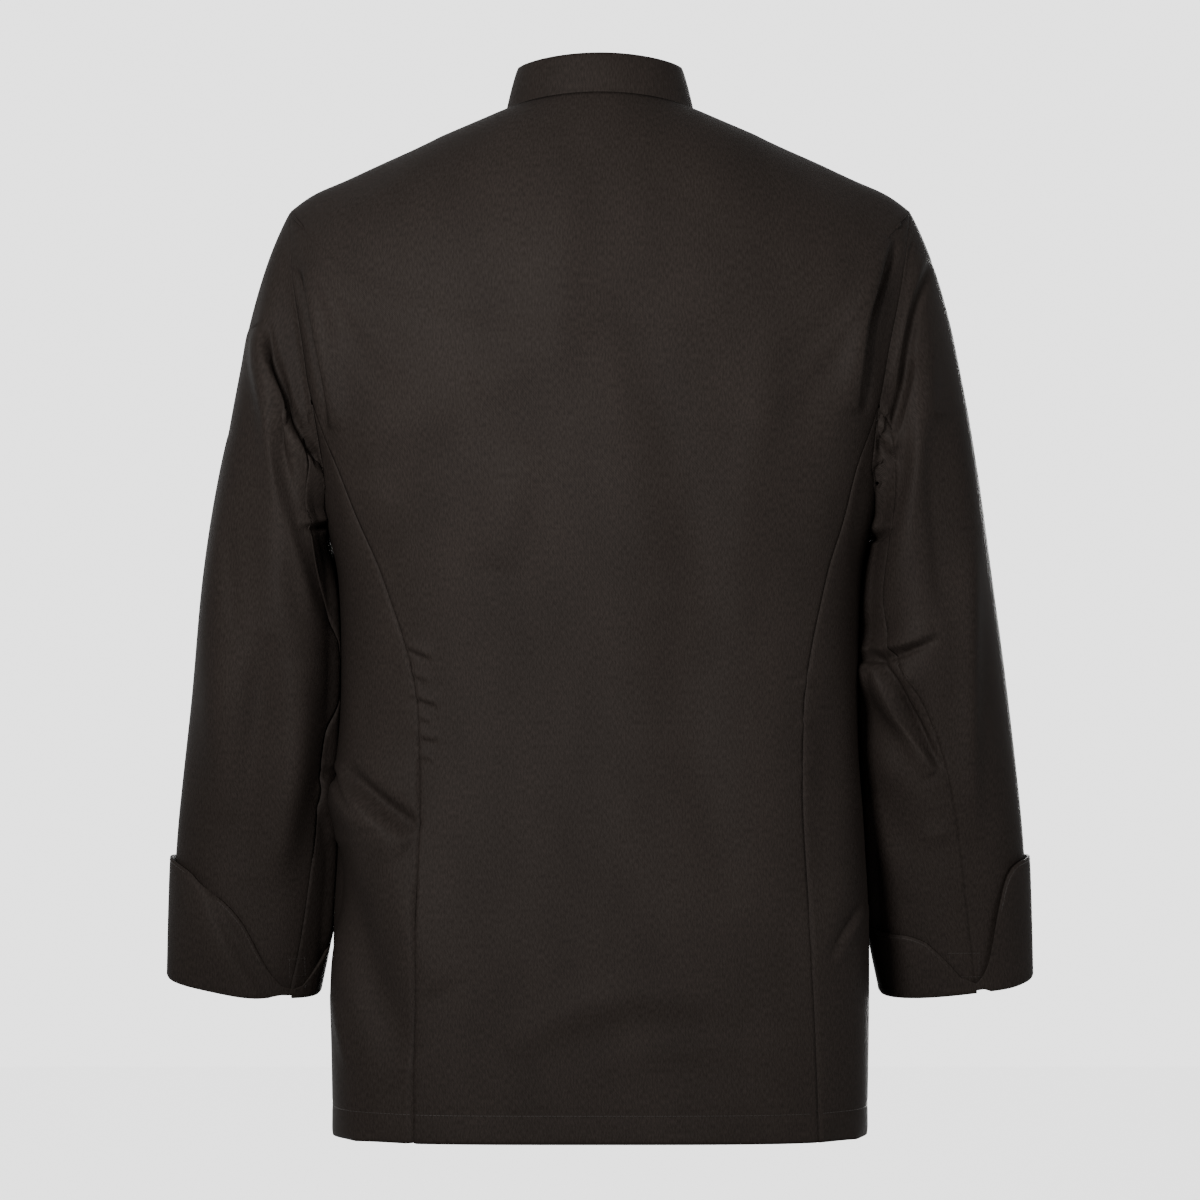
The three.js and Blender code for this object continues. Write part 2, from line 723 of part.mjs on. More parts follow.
// The panel under the arm, between the shaped back seam and the front side seam.
function sidePanel(name, hand) {
  const grid = ROWS.slice(WIDEST_ROW).map((down, i) => {
    const row = WIDEST_ROW + i;
    const share = (down - ARMHOLE_WIDEST) / (HEM - ARMHOLE_WIDEST);
    return Array.from({ length: SIDE_COLUMNS + 1 }, (_, j) => {
      const across = j / SIDE_COLUMNS;
      const top = armhole(PI / 2 + PI * across, hand);
      const level = lerp(top.down, HEM, share);
      const edgeBack = panelEdge(row, 1, hand);
      const edgeFront = -panelEdge(row, -1, hand);
      const straight = lerp(edgeBack, edgeFront, across);
      const straightTop = radians(lerp(ARMHOLE_BACK[hand], -ARMHOLE_FRONT, across));
      const bend = (top.angle - straightTop) * (1 - share) ** 3;
      const trim =
        j === 0
          ? -halfGap(row, 1, hand)
          : j === SIDE_COLUMNS
            ? halfGap(row, -1, hand)
            : 0;
      const angle = straight + bend + trim;
      return {
        angle: hand > 0 ? angle : PI - angle,
        down: level,
        facing: i === 0 ? SLEEVES[hand].edges[UNDER_FROM + j] : undefined,
      };
    });
  });
  return bodyPanel(name, grid);
}

// A front: from its side seam and shoulder to the centre front, and on across the other front.
function front(name, hand, onTop) {
  const grid = ROWS.map((down, row) => {
    const from = panelEdge(row, -1, hand);
    const sewn = row <= TIP_ROW || row >= WIDEST_ROW;
    const gap = sewn ? halfGap(row, -1, hand) : 0;
    const share = down / HEM;
    const reach = flapReach(down);
    return Array.from({ length: FRONT_COLUMNS + FLAP_COLUMNS + 1 }, (_, j) => {
      const own = Math.min(j / FRONT_COLUMNS, 1);
      const past = Math.max(0, j - FRONT_COLUMNS) / FLAP_COLUMNS;
      const level =
        levelAt(row, own) + FLAP_TOP_DROP * past ** 1.25 * (1 - share);
      const beyond = past > 0 ? PI / 2 - angleAt(level, reach * past, "squareFront") : 0;
      const around = lerp(from + gap, PI / 2, crowded(own, row)) + beyond;
      const angle = hand > 0 ? -around : PI + around;
      const onEdge = j === 0 || (row === 0 && past === 0);
      const lift = onTop ? topLift(hand * torsoForm(angle, level).x, level) : 0;
      return {
        angle,
        down: row === 0 && past === 0 ? level + 0.7 * lift : level,
        lift,
        facing: onEdge ? edgeFacing(row, -1, hand, angle) : undefined,
      };
    });
  });
  return bodyPanel(name, grid);
}

// How far a front reaches past the centre front.
function flapReach(down) {
  return lerp(FLAP_TOP_REACH, FLAP_HEM_REACH, smoothstep(down / HEM, 0, 0.6));
}

// The outer front rises off the torso where the inner one lies under it. x is the distance from the
// centre front on the outer front's own side.
function topLift(x, down) {
  const reach = flapReach(down);
  const edge = FLAP_TOP_DROP * Math.max(0, x / reach) ** 1.25 * (1 - down / HEM);
  const over = smoothstep(reach - x, -45, -10);
  const below = smoothstep(down - edge, -26, -8);
  return (wallAt(down) + LAYER_GAP) * over * below;
}

// The stand collar, on the neckline's own columns, with its ends rounded at the centre front.
function collar() {
  const backAngles = Array.from({ length: BACK_COLUMNS + 1 }, (_, j) => {
    const gap = halfGap(0, 1, 1);
    return lerp(gap, PI - gap, j / BACK_COLUMNS);
  });
  const endTrim = COLLAR_END_GAP / TORSO[0].halfWidth;
  const frontAngles = (hand) =>
    Array.from({ length: FRONT_COLUMNS }, (_, j) => {
      const around = lerp(0, PI / 2, (j + 1) / FRONT_COLUMNS);
      const trimmed = j === FRONT_COLUMNS - 1 ? around - endTrim : around;
      return hand > 0 ? -trimmed : PI + trimmed;
    });
  const angles = [
    ...frontAngles(1).reverse(),
    ...backAngles,
    ...frontAngles(-1),
  ];
  const outer = [];
  const inner = [];
  for (let i = 0; i <= COLLAR_ROWS; i++) {
    const share = i / COLLAR_ROWS;
    const line = angles.map((angle, j) => {
      const fromEnd = Math.min(j, angles.length - 1 - j);
      const rounded = COLLAR_END_ROUND[fromEnd] ?? 1;
      const p = collarPoint(angle, share * rounded);
      if (i === 0)
        p.addScaledVector(
          collarPoint(angle, 1).sub(p).normalize(),
          SEAM_GAP + (fromEnd < 2 ? 0.4 : 0.1),
        );
      return p;
    });
    outer.push(line);
    inner.push(
      line.map((p, j) => {
        const angle = angles[j];
        const n =
          i === 0
            ? necklineFacing(angle, "collar")
            : new THREE.Vector3(cos(angle), sin(angle), 0.1).normalize();
        return p.clone().addScaledVector(n, i === 0 ? -CLOTH : -COLLAR_CLOTH);
      }),
    );
  }
  return wall("collar", outer, inner, BLACK_TWILL);
}

// A cuff: the sleeve's end turned back over itself, with a lip under the sleeve's edge. Its section
// runs up the outer face, over the free edge, down the inner face and round the lip.
function cuff(name, hand) {
  const columns = 2 * SLEEVE_COLUMNS;
  const heights = hand > 0 ? LEFT_CUFF : RIGHT_CUFF;
  const notch = sleeveAngle(hand, UNDER_FROM, 1);
  const sections = [];
  for (let j = 0; j < columns; j++) {
    const angle = sleeveAngle(hand, j / 2, 1);
    const round = angle - notch;
    const from = round > 180 ? round - 360 : round < -180 ? round + 360 : round;
    const height = between(heights, "from", from).height;
    const at = (up, lift) =>
      sleeveTube(hand, angle, 1 - up / SLEEVE_LENGTH, lift);
    const flare = (share) => CUFF_STANDOFF + (CUFF_FLARE * share * height) / 88;
    const below = (lift) => {
      const end = at(0, lift);
      const up = at(10, lift).sub(end).normalize();
      return {
        shallow: end.clone().addScaledVector(up, -2 * SEAM_GAP),
        deep: end.clone().addScaledVector(up, -CUFF_LIP),
      };
    };
    const section = [];
    for (let i = 0; i <= CUFF_ROWS; i++)
      section.push(
        at(height * (i / CUFF_ROWS), flare(i / CUFF_ROWS) + CUFF_CLOTH),
      );
    for (let i = CUFF_ROWS; i >= 1; i--)
      section.push(at(height * (i / CUFF_ROWS), flare(i / CUFF_ROWS)));
    section.push(below(CUFF_STANDOFF).shallow);
    section.push(below(-CLOTH).shallow);
    section.push(below(-CLOTH).deep);
    section.push(below(CUFF_STANDOFF + CUFF_CLOTH * 0.6).deep);
    sections.push(section);
  }
  const points = sections[0].length;
  const positions = sections.flat().flatMap((p) => [p.x, p.y, p.z]);
  const index = [];
  for (let j = 0; j < columns; j++)
    for (let i = 0; i < points; i++) {
      const [a, b] = [j * points + i, j * points + ((i + 1) % points)];
      const next = ((j + 1) % columns) * points;
      const [c, d] = [next + ((i + 1) % points), next + i];
      index.push(a, b, c, a, c, d);
    }
  return solid(name, positions, index, BLACK_TWILL);
}

// A sewn-through button: a disc with a raised rim, dished in the middle.
function button(name, row, hand) {
  const profile = [
    [0, 0],
    [BUTTON_RADIUS * 0.8, 0],
    [BUTTON_RADIUS, BUTTON_THICKNESS * 0.45],
    [BUTTON_RADIUS * 0.88, BUTTON_THICKNESS],
    [BUTTON_RADIUS * 0.62, BUTTON_THICKNESS * 0.7],
    [0, BUTTON_THICKNESS * 0.7],
  ].map(([r, y]) => new THREE.Vector2(r, y));
  const geometry = new THREE.LatheGeometry(profile, BUTTON_SIDES);
  const mesh = new THREE.Mesh(geometry, BLACK_RESIN);
  const down = BUTTON_TOP + BUTTON_PITCH * row;
  const reach = flapReach(down) - BUTTON_INSET;
  const around = angleAt(down, reach, "squareFront");
  const angle = hand > 0 ? -around : PI + around;
  const lift = CLOTH + LAYER_GAP;
  const normal = torsoNormal(angle, down);
  mesh.position
    .copy(torso(angle, down, lift))
    .addScaledVector(normal, BUTTON_SEAT);
  mesh.quaternion.setFromUnitVectors(new THREE.Vector3(0, 1, 0), normal);
  mesh.name = name;
  return mesh;
}

const jacket = new THREE.Group();
jacket.add(
  back(),
  sidePanel("side_left", 1),
  sidePanel("side_right", -1),
  front("front_left", 1, true),
  front("front_right", -1, false),
  collar(),
  sleevePanel(
    "sleeve_top_left",
    1,
    UNDER_TO - SLEEVE_COLUMNS,
    UNDER_FROM,
  ),
  sleevePanel("sleeve_under_left", 1, UNDER_FROM, UNDER_TO),
  sleevePanel(
    "sleeve_top_right",
    -1,
    UNDER_TO - SLEEVE_COLUMNS,
    UNDER_FROM,
  ),
  sleevePanel("sleeve_under_right", -1, UNDER_FROM, UNDER_TO),
  cuff("cuff_left", 1),
  cuff("cuff_right", -1),
);
for (let row = 0; row < BUTTON_ROWS; row++) {
  jacket.add(button(`button_left_${row + 1}`, row, 1));
  jacket.add(button(`button_right_${row + 1}`, row, -1));
}

export default jacket;
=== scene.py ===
import math

import bmesh
import bpy
import numpy as np
from mathutils import Matrix, Vector
from mathutils.bvhtree import BVHTree
from mathutils.kdtree import KDTree


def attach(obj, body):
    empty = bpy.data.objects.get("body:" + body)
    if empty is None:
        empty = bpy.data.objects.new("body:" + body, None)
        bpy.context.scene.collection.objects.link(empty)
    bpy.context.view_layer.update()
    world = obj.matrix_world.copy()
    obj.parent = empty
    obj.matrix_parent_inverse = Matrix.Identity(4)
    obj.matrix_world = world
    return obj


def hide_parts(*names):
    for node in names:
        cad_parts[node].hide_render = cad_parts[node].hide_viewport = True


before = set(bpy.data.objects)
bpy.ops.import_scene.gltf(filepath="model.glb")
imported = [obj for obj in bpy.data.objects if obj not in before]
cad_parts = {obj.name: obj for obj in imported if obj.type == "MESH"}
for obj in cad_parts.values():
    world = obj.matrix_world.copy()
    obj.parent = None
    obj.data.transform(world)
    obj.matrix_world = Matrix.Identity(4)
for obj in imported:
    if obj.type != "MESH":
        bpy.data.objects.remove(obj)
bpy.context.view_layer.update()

# Camera
# The jacket stands with its back to the camera, a little over three metres off, level with its waist.
bpy.ops.object.camera_add(location=(0, 3.2, -0.375), rotation=(math.radians(90), 0, math.radians(180)))
camera = bpy.context.object
camera.data.sensor_width = 36
camera.data.lens = 36 * 3.2 / 0.9
bpy.context.scene.camera = camera

# Twill
# The cloth is a fine black twill of cotton and polyester, piece dyed, so single threads stay a little
# warmer and lighter than the rest. It is nearly matt.
def twill_material(name, base, warm, weave_strength=0.35):
    material = bpy.data.materials.new(name)
    material.use_nodes = True
    nodes = material.node_tree.nodes
    links = material.node_tree.links
    shader = nodes["Principled BSDF"]
    shader.inputs["Roughness"].default_value = 0.6
    shader.inputs["Specular IOR Level"].default_value = 0.007

    cut = nodes.new("ShaderNodeUVMap")
    cut.uv_map = "Cut"

    def mapped(rotation, scale):
        mapping = nodes.new("ShaderNodeMapping")
        mapping.inputs["Rotation"].default_value = (0, 0, math.radians(rotation))
        mapping.inputs["Scale"].default_value = scale
        links.new(cut.outputs["UV"], mapping.inputs["Vector"])
        return mapping.outputs["Vector"]

    # Diagonal ribs, 0.9 mm apart
    ribs = nodes.new("ShaderNodeTexWave")
    ribs.wave_profile = "SIN"
    ribs.inputs["Scale"].default_value = 350
    ribs.inputs["Distortion"].default_value = 0.8
    ribs.inputs["Detail"].default_value = 1.0
    ribs.inputs["Detail Scale"].default_value = 2.0
    links.new(mapped(62, (1, 1, 1)), ribs.inputs["Vector"])

    # Single threads, drawn out along the warp
    threads = nodes.new("ShaderNodeTexNoise")
    threads.inputs["Scale"].default_value = 900
    threads.inputs["Detail"].default_value = 1.5
    links.new(mapped(0, (1, 0.3, 1)), threads.inputs["Vector"])

    # Patches of dye, a few centimetres across
    patches = nodes.new("ShaderNodeTexNoise")
    patches.inputs["Scale"].default_value = 22
    patches.inputs["Detail"].default_value = 3
    links.new(mapped(0, (1, 0.5, 1)), patches.inputs["Vector"])

    shade = nodes.new("ShaderNodeMix")
    shade.data_type = "RGBA"
    shade.inputs["A"].default_value = (*base, 1)
    shade.inputs["B"].default_value = (*warm, 1)
    spread = nodes.new("ShaderNodeMapRange")
    spread.inputs["From Min"].default_value = 0.3
    spread.inputs["From Max"].default_value = 0.7
    links.new(threads.outputs["Fac"], spread.inputs["Value"])
    links.new(spread.outputs["Result"], shade.inputs["Factor"])

    worn = nodes.new("ShaderNodeMix")
    worn.data_type = "RGBA"
    worn.blend_type = "MULTIPLY"
    worn.inputs["Factor"].default_value = 1
    tone = nodes.new("ShaderNodeMapRange")
    tone.inputs["From Min"].default_value = 0.3
    tone.inputs["From Max"].default_value = 0.7
    tone.inputs["To Min"].default_value = 0.9
    tone.inputs["To Max"].default_value = 1.08
    links.new(patches.outputs["Fac"], tone.inputs["Value"])
    links.new(shade.outputs["Result"], worn.inputs["A"])
    links.new(tone.outputs["Result"], worn.inputs["B"])
    links.new(worn.outputs["Result"], shader.inputs["Base Color"])

    height = nodes.new("ShaderNodeMath")
    height.operation = "ADD"
    links.new(ribs.outputs["Fac"], height.inputs[0])
    links.new(threads.outputs["Fac"], height.inputs[1])
    bump = nodes.new("ShaderNodeBump")
    bump.inputs["Strength"].default_value = weave_strength
    bump.inputs["Distance"].default_value = 0.0003
    links.new(height.outputs["Value"], bump.inputs["Height"])
    links.new(bump.outputs["Normal"], shader.inputs["Normal"])
    return material


black_twill = twill_material(
    "black_twill",
    base=(0.0020, 0.00155, 0.00132),
    warm=(0.0033, 0.00257, 0.00222),
)

# Panels of the back and sides
# The centre back is one panel of twill, with a side panel sewn to each of its two shaped seams. The
# cloth hangs in long soft folds, puckers along the seams, and drags from the underarms and the waist.
CLOTH = 0.0012
HEM_EDGE = -0.7695  # height of the jacket's lower edge, nearly
HEM_STITCH = 0.0215  # from that edge up to the row of stitches
HEM_STITCH_PULL = 0.0005  # how far the row draws the cloth in
SEAM_TUCK = 0.00035  # how far each panel reaches into a seam, to close it
SIDE_BLEND = 0.03  # depth over which the folds of the back give way to those of the front

# A fold's crest, from one end to the other as seen from behind (side 1) or in front (side -1), with a
# bow to its left, its half width, its height (a trough's is under 0) and the side that a valley lies
# on. Metres.
FOLD_COLUMNS = "side from_x from_z to_x to_z bow width height valley".split()


def fold_table(*rows):
    return [dict(zip(FOLD_COLUMNS, row)) for row in rows]


def crest_distance(points, fold, samples=14):
    """Each point's distance from a bowed crest, its place along it, and which side it lies on."""
    start = np.array([fold["from_x"], fold["from_z"]])
    end = np.array([fold["to_x"], fold["to_z"]])
    step = end - start
    length = np.hypot(*step)
    left = np.array([-step[1], step[0]]) / length
    t = np.linspace(0, 1, samples)[:, None]
    line = start + t * step + 4 * fold["bow"] * t * (1 - t) * left
    best = np.full(len(points), 9.0)
    place = np.zeros(len(points))
    hand = np.ones(len(points))
    for i in range(samples - 1):
        a, b = line[i], line[i + 1]
        ab = b - a
        u = np.clip(((points - a) @ ab) / (ab @ ab), 0, 1)
        off = points - (a + u[:, None] * ab)
        distance = np.hypot(off[:, 0], off[:, 1])
        nearer = distance < best
        best[nearer] = distance[nearer]
        place[nearer] = ((i + u) / (samples - 1))[nearer]
        hand[nearer] = np.sign(ab[0] * off[:, 1] - ab[1] * off[:, 0])[nearer]
    return best, place, hand


def fold_height(points, folds):
    """How far the folds lift each point, in metres. A fold with a valley falls steeply into it."""
    lift = np.zeros(len(points))
    for fold in folds:
        distance, place, hand = crest_distance(points, fold)
        taper = np.sin(np.pi * np.clip(place, 0, 1)) ** 0.6
        away = distance * hand / fold["width"]
        if fold["valley"]:
            away *= fold["valley"]
            steep = np.where(away > 0, away / 0.4, away)
            trough = 0.8 * np.exp(-(((away - 0.8) / 0.32) ** 2))
            lift += fold["height"] * taper * (np.exp(-steep ** 2) - trough)
        else:
            lift += fold["height"] * taper * np.exp(-away ** 2)
    return lift


def mesh_array(mesh, what):
    """A vector of every vertex, as an array."""
    values = np.zeros(len(mesh.vertices) * 3)
    if what == "normal":
        mesh.vertex_normals.foreach_get("vector", values)
    else:
        mesh.vertices.foreach_get(what, values)
    return values.reshape(-1, 3)


def join_pairs(bm):
    """Joins a grid's triangles two by two, across the same diagonal of every cell."""
    choices = []
    for start in bm.faces[0].edges:
        diagonals = {start}
        front = [start]
        done = set(start.link_faces)
        while front:
            diagonal = front.pop()
            for face in diagonal.link_faces:
                for edge in face.edges:
                    if edge == diagonal:
                        continue
                    apart = next(v for v in edge.verts if v not in diagonal.verts)
                    for other in edge.link_faces:
                        if other in done:
                            continue
                        across = next(e for e in other.edges if e != edge and apart in e.verts)
                        done.update(across.link_faces)
                        if len(across.link_faces) == 2:
                            diagonals.add(across)
                            front.append(across)
        paired = sum(len(e.link_faces) for e in diagonals) == len(bm.faces)
        choices.append((paired, sum(e.calc_length() for e in diagonals), len(choices), diagonals))
    best = max(choices, key=lambda choice: choice[:3])
    bmesh.ops.dissolve_edges(bm, edges=list(best[3]), use_verts=False)


def outer_cloth(node, axis, wall=0.0045, bend=75, rim=0.00265):
    """A copy of a panel's outer face, as a sheet of quads. axis gives the middle of the hollow, wall is
    more than the panel's thickness, the face ends where it turns by more than bend degrees, and a
    triangle with an edge shorter than rim is one of the panel's cut edge."""
    bpy.ops.object.select_all(action="DESELECT")
    mesh = bpy.data.objects[node].data.copy()
    mesh.materials.clear()
    sheet = bpy.data.objects.new(node + "_cloth", mesh)
    bpy.context.collection.objects.link(sheet)
    bm = bmesh.new()
    bm.from_mesh(mesh)
    bmesh.ops.remove_doubles(bm, verts=bm.verts, dist=1e-5)
    bm.normal_update()
    bm.faces.ensure_lookup_table()
    tree = BVHTree.FromBMesh(bm)
    facing = {}
    for face in bm.faces:
        middle = face.calc_center_median()
        outwards = face.normal.dot((middle - axis(middle)).normalized())
        behind = tree.ray_cast(middle - face.normal * 2e-5, -face.normal, wall)[1]
        cut_edge = min(edge.calc_length() for edge in face.edges) < rim
        if outwards > 0 and not cut_edge and behind is not None and behind.dot(face.normal) < -0.6:
            facing[face.index] = outwards * face.calc_area()
    start = bm.faces[max(facing, key=facing.get)]
    kept = {start}
    edge_of_it = [start]
    while edge_of_it:
        face = edge_of_it.pop()
        for edge in face.edges:
            for other in edge.link_faces:
                turn = math.degrees(face.normal.angle(other.normal))
                if other not in kept and other.index in facing and turn < bend:
                    kept.add(other)
                    edge_of_it.append(other)
    corners = {vert for face in kept for vert in face.verts}
    others = [face for face in bm.faces if face not in kept and not corners.issuperset(face.verts)]
    bmesh.ops.delete(bm, geom=others, context="FACES")
    bm.faces.ensure_lookup_table()
    join_pairs(bm)
    bm.to_mesh(mesh)
    bm.free()
    return sheet


def lay_flat(sheet):
    """A UV map in metres, as the panel is cut, with the warp upright."""
    bpy.context.view_layer.objects.active = sheet
    sheet.select_set(True)
    mesh = sheet.data
    while mesh.uv_layers:
        mesh.uv_layers.remove(mesh.uv_layers[0])
    mesh.uv_layers.new(name="Cut")
    bpy.ops.object.mode_set(mode="EDIT")
    bpy.ops.mesh.select_all(action="SELECT")
    bpy.ops.uv.unwrap(method="ANGLE_BASED", margin=0)
    bpy.ops.object.mode_set(mode="OBJECT")
    flat = np.zeros(len(mesh.loops) * 2)
    mesh.uv_layers["Cut"].data.foreach_get("uv", flat)
    flat = flat.reshape(-1, 2)
    vertex = np.zeros(len(mesh.loops), dtype=int)
    mesh.loops.foreach_get("vertex_index", vertex)
    height = mesh_array(mesh, "co")[vertex, 2]
    centred = flat - flat.mean(0)
    slope = np.linalg.lstsq(centred, height - height.mean(), rcond=None)[0]
    slope /= np.linalg.norm(slope)
    turned = np.stack([centred @ [slope[1], -slope[0]], centred @ slope], 1)
    drawn = 0.0
    for face in mesh.polygons:
        corners = turned[list(face.loop_indices)]
        after = np.roll(corners, -1, axis=0)
        drawn += abs((corners[:, 0] * after[:, 1] - after[:, 0] * corners[:, 1]).sum()) / 2
    turned *= math.sqrt(sum(face.area for face in mesh.polygons) / drawn)
    mesh.uv_layers["Cut"].data.foreach_set("uv", turned.ravel())


def cut_open(sheet):
    """Marks a seam up a tube's hidden side, for laying it flat."""
    bm = bmesh.new()
    bm.from_mesh(sheet.data)
    middle = sum(v.co.z for v in bm.verts) / len(bm.verts)
    vert = min((v for v in bm.verts if v.is_boundary and v.co.z < middle), key=lambda v: v.co.y)
    climbed = False
    while not (climbed and vert.is_boundary):
        edge = max(
            (e for e in vert.link_edges if not e.is_boundary),
            key=lambda e: (e.other_vert(vert).co - vert.co).normalized().z,
        )
        edge.seam = True
        vert = edge.other_vert(vert)
        climbed = True
    bm.to_mesh(sheet.data)
    bm.free()


def crease_lip(sheet, widest=0.003):
    """Keeps a narrow lip at a folded edge from rounding into the face above it."""
    bm = bmesh.new()
    bm.from_mesh(sheet.data)
    crease = bm.edges.layers.float.new("crease_edge")
    for face in bm.faces:
        if min(edge.calc_length() for edge in face.edges) < widest:
            for edge in face.edges:
                edge[crease] = 1.0
    bm.to_mesh(sheet.data)
    bm.free()


def border_loops(mesh):
    """The sheet's edges as rings of vertices in order, each with the neighbour that lies inwards."""
    bm = bmesh.new()
    bm.from_mesh(mesh)
    bm.verts.ensure_lookup_table()
    left = {v.index for v in bm.verts if v.is_boundary}
    loops = []
    while left:
        vert = bm.verts[min(left)]
        ring = []
        while vert is not None:
            left.discard(vert.index)
            inner = [e.other_vert(vert).index for e in vert.link_edges if not e.is_boundary]
            ring.append((vert.index, inner[0] if inner else -1))
            ahead = [e.other_vert(vert) for e in vert.link_edges if e.is_boundary]
            vert = next((v for v in ahead if v.index in left), None)
        loops.append(ring)
    bm.free()
    return loops


def round_through(sheet, levels):
    """Rounds a sheet's faces so that they still pass through its corners."""
    mesh = sheet.data
    target = mesh_array(mesh, "co")
    crease = np.zeros(len(target))
    for ring in border_loops(mesh):
        place = target[[index for index, _ in ring]]
        ahead = np.roll(place, -1, axis=0) - place
        ahead /= np.linalg.norm(ahead, axis=1)[:, None]
        turn = (ahead * np.roll(ahead, 1, axis=0)).sum(1)
        for (index, _), straight in zip(ring, turn):
            crease[index] = 1.0 if straight < math.cos(math.radians(24)) else 0.0
    mesh.attributes.new("crease_vert", "FLOAT", "POINT").data.foreach_set("value", crease)
    rounding = sheet.modifiers.new("rounding", "SUBSURF")
    rounding.levels = rounding.render_levels = 1
    rounding.boundary_smooth = "PRESERVE_CORNERS"
    place = target.copy()
    for _ in range(8):
        mesh.vertices.foreach_set("co", place.ravel())
        mesh.update()
        shown = sheet.evaluated_get(bpy.context.evaluated_depsgraph_get())
        place += target - mesh_array(shown.data, "co")[: len(target)]
    mesh.vertices.foreach_set("co", place.ravel())
    mesh.update()
    rounding.levels = rounding.render_levels = levels
    bpy.context.view_layer.objects.active = sheet
    bpy.ops.object.modifier_apply(modifier=rounding.name)


borders = {}  # of each sheet: where its edge runs, and which ways are inwards and out of the cloth
skins = {}  # of each sheet: its finished outer face, for what lies against it


def solids_tree(nodes):
    """The solids of some nodes, to measure distances to."""
    bm = bmesh.new()
    for node in nodes:
        bm.from_mesh(bpy.data.objects[node].data)
    tree = BVHTree.FromBMesh(bm)
    bm.free()
    return tree


def shared_seam_fade(place, loops, others, reach=0.003, soft=0.006):
    """0 at the seam with the other solids, rising to 1 a little way off, so that both sides meet."""
    seam = [i for ring in loops for i, _ in ring if others.find_nearest(Vector(place[i]), reach)[0]]
    nearby = KDTree(len(seam))
    for i in seam:
        nearby.insert(Vector(place[i]), i)
    nearby.balance()
    away = np.array([nearby.find(Vector(p))[2] if seam else 9.0 for p in place])
    share = np.clip(away / soft, 0, 1)
    return share * share * (3 - 2 * share)


def press_against(place, names, below, reach, gap=0.0002):
    """Lays the points that nearly touch other sheets on them, and lifts out any that lie inside. It acts
    only under a height."""
    trees = [skins[name] for name in names]
    moved = place.copy()
    for i, point in enumerate(place):
        if point[2] > below:
            continue
        hits = [tree.find_nearest(Vector(point), reach) for tree in trees]
        hits = [hit for hit in hits if hit[0] is not None]
        if not hits:
            continue
        spot, normal, _, distance = min(hits, key=lambda hit: hit[3])
        above = (Vector(point) - spot).dot(normal)
        facing = min(max((abs(above) / max(distance, 1e-9) - 0.6) / 0.3, 0), 1)
        near = 1.0 if above < 0 else min(max((reach - above) / (0.6 * reach), 0), 1)
        share = facing * near * near * (3 - 2 * near) * min((below - point[2]) / 0.02, 1)
        moved[i] = point - np.array(normal) * (above - gap) * share
    return moved


def refine(mesh, folds, reach=1.5):
    """Halves the faces along the sharp folds, so that their edges stay crisp."""
    place = mesh_array(mesh, "co")
    sharp = np.zeros(len(place), dtype=bool)
    for fold in folds:
        if fold["valley"]:
            distance, _, _ = crest_distance(place[:, [0, 2]], fold)
            same_side = place[:, 1] * fold["side"] > -0.02
            sharp |= (distance < reach * fold["width"]) & same_side
    bm = bmesh.new()
    bm.from_mesh(mesh)
    bm.verts.ensure_lookup_table()
    edges = [edge for edge in bm.edges if all(sharp[v.index] for v in edge.verts) and not edge.is_boundary]
    bmesh.ops.subdivide_edges(bm, edges=edges, cuts=1, use_grid_fill=True)
    bm.to_mesh(mesh)
    bm.free()


def finish_cloth(
    sheet,
    node,
    lift,
    folds=(),
    levels=3,
    thickness=CLOTH,
    seam_dip=0.0006,
    tuck=SEAM_TUCK,
    meets=(),
    lies_on=(),
    below=-0.22,
    reach=0.010,
):
    """Rounds a sheet, presses its folds and seams in, and gives it a wall."""
    round_through(sheet, levels)
    mesh = sheet.data
    refine(mesh, folds)
    place = mesh_array(mesh, "co")
    normals = mesh_array(mesh, "normal")
    up = lift(place)
    loops = border_loops(mesh)
    if meets:
        up = up * shared_seam_fade(place, loops, solids_tree(meets))
    if seam_dip:
        bm = bmesh.new()
        bm.from_mesh(mesh)
        bm.verts.ensure_lookup_table()
        steps = np.full(len(place), 3)
        ring = {v.index for v in bm.verts if v.is_boundary}
        for step in range(3):
            for index in ring:
                steps[index] = min(steps[index], step)
            ring = {e.other_vert(bm.verts[i]).index for i in ring for e in bm.verts[i].link_edges}
        bm.free()
        up = up - seam_dip * np.array([1.0, 0.3, 0.0, 0.0])[steps]
    place = place + normals * up[:, None]
    if lies_on:
        place = press_against(place, lies_on, below, reach)
    kept = []
    for ring in loops:
        index = [i for i, _ in ring]
        along = place[np.roll(index, -1)] - place[np.roll(index, 1)]
        inwards = np.cross(normals[index], along)
        inwards /= np.linalg.norm(inwards, axis=1)[:, None] + 1e-12
        neighbour = np.array([i if j < 0 else j for i, j in ring])
        inwards *= np.where(((place[neighbour] - place[index]) * inwards).sum(1) < 0, -1, 1)[:, None]
        kept.append((place[index], inwards, normals[index]))
        place[index] -= inwards * tuck
    borders[node] = kept
    skins[node] = BVHTree.FromPolygons(place.tolist(), [list(face.vertices) for face in mesh.polygons])
    mesh.vertices.foreach_set("co", place.ravel())
    mesh.materials.append(black_twill)
    mesh.update()
    bpy.ops.object.shade_smooth()
    wall = sheet.modifiers.new("wall", "SOLIDIFY")
    wall.thickness = thickness
    wall.offset = -1
    wall.use_quality_normals = True
    bpy.ops.object.modifier_apply(modifier=wall.name)
    bpy.ops.object.select_all(action="DESELECT")
    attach(sheet, "root")
    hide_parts(node)


def torso_axis(point):
    return Vector((0, -0.005, min(point.z - 0.03, -0.16)))


